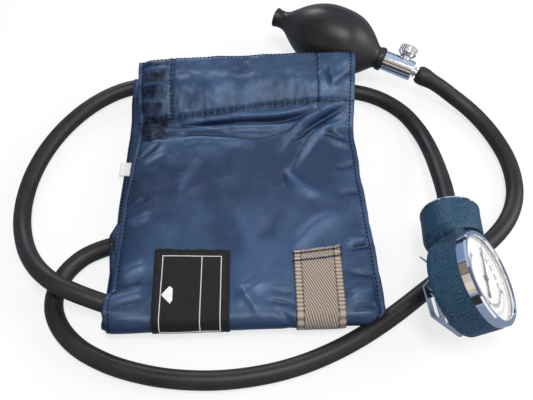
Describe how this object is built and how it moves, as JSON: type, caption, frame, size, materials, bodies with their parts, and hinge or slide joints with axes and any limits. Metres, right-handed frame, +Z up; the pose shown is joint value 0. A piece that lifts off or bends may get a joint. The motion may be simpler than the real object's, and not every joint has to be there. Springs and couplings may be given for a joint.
{
  "type": "aneroid sphygmomanometer",
  "caption": "Folded arm cuff with two rubber hoses, a hand bulb with a release valve, and a hand gauge with a clip.",
  "frame": {"origin": "centre of the folded cuff's underside, on the table", "axes": "+X from the cuff towards the gauge, +Y from the cuff towards the bulb, +Z up"},
  "size_m": [0.2914, 0.2412, 0.0545],
  "materials": {
    "cuff_nylon": "satin",
    "bladder_rubber": "matte",
    "hook_tape": "rough",
    "loop_tape": "rough",
    "label_cloth": "matte",
    "webbing": "matte",
    "tag_cloth": "matte",
    "hose_rubber": "satin",
    "bulb_rubber": "satin",
    "blue_enamel": "crinkled",
    "chrome_plate": "polished",
    "clear_glass": "clear",
    "dial_enamel": "satin",
    "pointer_paint": "satin",
    "movement_brass": "brushed",
    "capsule_brass": "satin",
    "steel": "brushed"
  },
  "bodies": {
    "set": {"cuff_outer_cloth": "cuff_nylon", "cuff_inner_cloth": "cuff_nylon", "bladder": "bladder_rubber", "hook_patch": "hook_tape", "loop_patch": "loop_tape", "marker_label": "label_cloth", "gauge_strap": "webbing", "size_tag": "tag_cloth", "gauge_hose": "hose_rubber", "bulb_hose": "hose_rubber", "gauge_case": "blue_enamel", "bezel": "chrome_plate", "crystal": "clear_glass", "crystal_gasket": "hose_rubber", "dial_plate": "dial_enamel", "dial_screws": "steel", "movement_top_plate": "movement_brass", "movement_bottom_plate": "movement_brass", "movement_pillars": "movement_brass", "movement_screws": "steel", "hairspring": "steel", "pressure_capsule": "capsule_brass", "end_cap": "chrome_plate", "gauge_port": "movement_brass", "gauge_clip": "chrome_plate", "clip_screws": "steel", "bulb": "bulb_rubber", "inlet_valve": "movement_brass", "inlet_retainer": "movement_brass", "valve_body": "chrome_plate", "outlet_seat": "movement_brass", "hose_barb": "chrome_plate"},
    "sector": {"sector_gear": "movement_brass"},
    "pointer": {"pointer_arbor": "steel", "pointer": "pointer_paint"},
    "push_pin": {"push_pin": "steel"},
    "spindle": {"release_spindle": "chrome_plate", "spindle_seal": "hose_rubber"},
    "knob": {"release_knob": "chrome_plate"},
    "inlet_ball": {"inlet_ball": "steel"},
    "outlet_ball": {"outlet_ball": "steel"}
  },
  "joints": [
    {"name": "sector_swing", "type": "hinge", "parent": "set", "child": "sector", "pos_m": [0.11156, -0.05624, 0.02521], "axis": [0.723, 0.0404, 0.6896], "range_deg": [0, 30], "stiffness_Nm_per_rad": 0.01},
    {"name": "pointer_turn", "type": "hinge", "parent": "set", "child": "pointer", "pos_m": [0.10812, -0.07179, 0.02973], "axis": [0.723, 0.0404, 0.6896], "range_deg": [-300, 0]},
    {"name": "push_pin_slide", "type": "slide", "parent": "set", "child": "push_pin", "axis": [-0.0682, -0.9892, 0.1295], "range_m": [0, 0.0018]},
    {"name": "spindle_lift", "type": "slide", "parent": "set", "child": "spindle", "axis": [0.3953, 0.7191, 0.5715], "range_m": [0, 0.0012]},
    {"name": "knob_turn", "type": "hinge", "parent": "spindle", "child": "knob", "pos_m": [0.10081, 0.09, 0.0233], "axis": [0.3953, 0.7191, 0.5715], "range_deg": [0, 540]},
    {"name": "inlet_ball_slide", "type": "slide", "parent": "set", "child": "inlet_ball", "axis": [0.8999, -0.4279, -0.084], "range_m": [0, 0.0012]},
    {"name": "outlet_ball_slide", "type": "slide", "parent": "set", "child": "outlet_ball", "axis": [0.8999, -0.4279, -0.084], "range_m": [0, 0.0012]}
  ],
  "couplings": [
    {"joint": "pointer_turn", "follows": "sector_swing", "ratio": -10},
    {"joint": "push_pin_slide", "follows": "sector_swing", "m_per_rad": 0.003247},
    {"joint": "spindle_lift", "follows": "knob_turn", "m_per_rad": 0.0001272}
  ]
}
